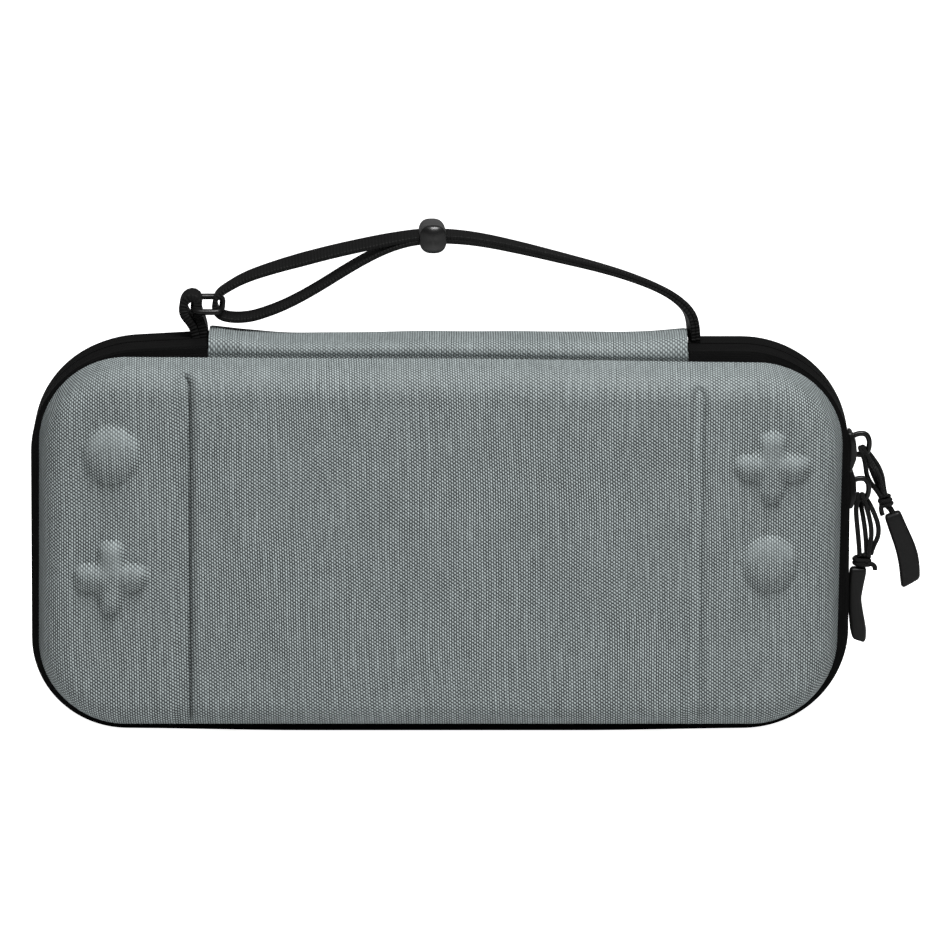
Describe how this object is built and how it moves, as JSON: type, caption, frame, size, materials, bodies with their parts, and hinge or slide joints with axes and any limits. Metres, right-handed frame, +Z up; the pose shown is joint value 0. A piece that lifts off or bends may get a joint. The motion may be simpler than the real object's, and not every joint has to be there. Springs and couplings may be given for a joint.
{
  "type": "handheld game console case",
  "caption": "Hard-shell zip case for a handheld game console, with embossed woven face, hinged lid, console tray, net pocket, wrist strap and corded zip pulls.",
  "frame": {"origin": "middle of the bottom edge on the parting line of the zip, at the height the case stands on", "axes": "+Z up, +X to the right seen from the embossed face, +Y towards the back shell"},
  "size_m": [0.2855, 0.0479, 0.1647],
  "materials": {
    "shell_fabric": "woven polyester over moulded foam, satin",
    "spine_fabric": "woven polyester, satin",
    "zip_tape": "flat woven tape, matt",
    "zip_coil": "nylon coil",
    "tray_lining": "brushed tricot over moulded foam",
    "pocket_net": "open knitted net",
    "pocket_elastic": "flat elastic binding",
    "webbing": "flat woven webbing",
    "ring_enamel": "black enamelled wire",
    "bead_plastic": "polished black moulding",
    "slider_enamel": "black enamelled die casting",
    "pull_cord": "braided cord",
    "grip_rubber": "soft-touch moulding, satin"
  },
  "bodies": {
    "base": {"back_shell": "shell_fabric", "back_zip_tape": "zip_tape", "back_zip_coil": "zip_coil", "hinge_spine": "spine_fabric", "console_tray": "tray_lining", "wrist_strap": "webbing", "strap_tab": "webbing", "strap_ring": "ring_enamel"},
    "lid": {"front_shell": "shell_fabric", "front_zip_tape": "zip_tape", "front_zip_coil": "zip_coil", "mesh_pocket": "pocket_net", "pocket_binding": "pocket_elastic"},
    "upper_zip_slider": {"upper_slider": "slider_enamel"},
    "upper_pull": {"upper_pull_cord": "pull_cord", "upper_pull_knot": "pull_cord", "upper_pull_grip": "grip_rubber"},
    "lower_zip_slider": {"lower_slider": "slider_enamel"},
    "lower_pull": {"lower_pull_cord": "pull_cord", "lower_pull_knot": "pull_cord", "lower_pull_grip": "grip_rubber"},
    "bead": {"strap_bead": "bead_plastic"}
  },
  "joints": [
    {"name": "lid_hinge", "type": "hinge", "parent": "base", "child": "lid", "pos_m": [0, -0.01, 0.125], "axis": [-1, 0, 0], "range_deg": [0, 150]},
    {"name": "upper_slider_run", "type": "hinge", "parent": "base", "child": "upper_zip_slider", "pos_m": [0.098, 0, 0.093], "axis": [0, -1, 0], "range_deg": [0, 80]},
    {"name": "upper_pull_swing", "type": "hinge", "parent": "upper_zip_slider", "child": "upper_pull", "pos_m": [0.1344, 0, 0.093], "axis": [0, -1, 0], "range_deg": [0, 100]},
    {"name": "lower_slider_run", "type": "slide", "parent": "base", "child": "lower_zip_slider", "axis": [0, 0, -1], "range_m": [0, 0.025]},
    {"name": "lower_pull_swing", "type": "hinge", "parent": "lower_zip_slider", "child": "lower_pull", "pos_m": [0.1344, 0, 0.0775], "axis": [0, -1, 0], "range_deg": [0, 100]},
    {"name": "bead_slide", "type": "hinge", "parent": "base", "child": "bead", "pos_m": [-0.0044, 0.0053, 0.039], "axis": [0, 1, 0], "range_deg": [0, 11]}
  ]
}
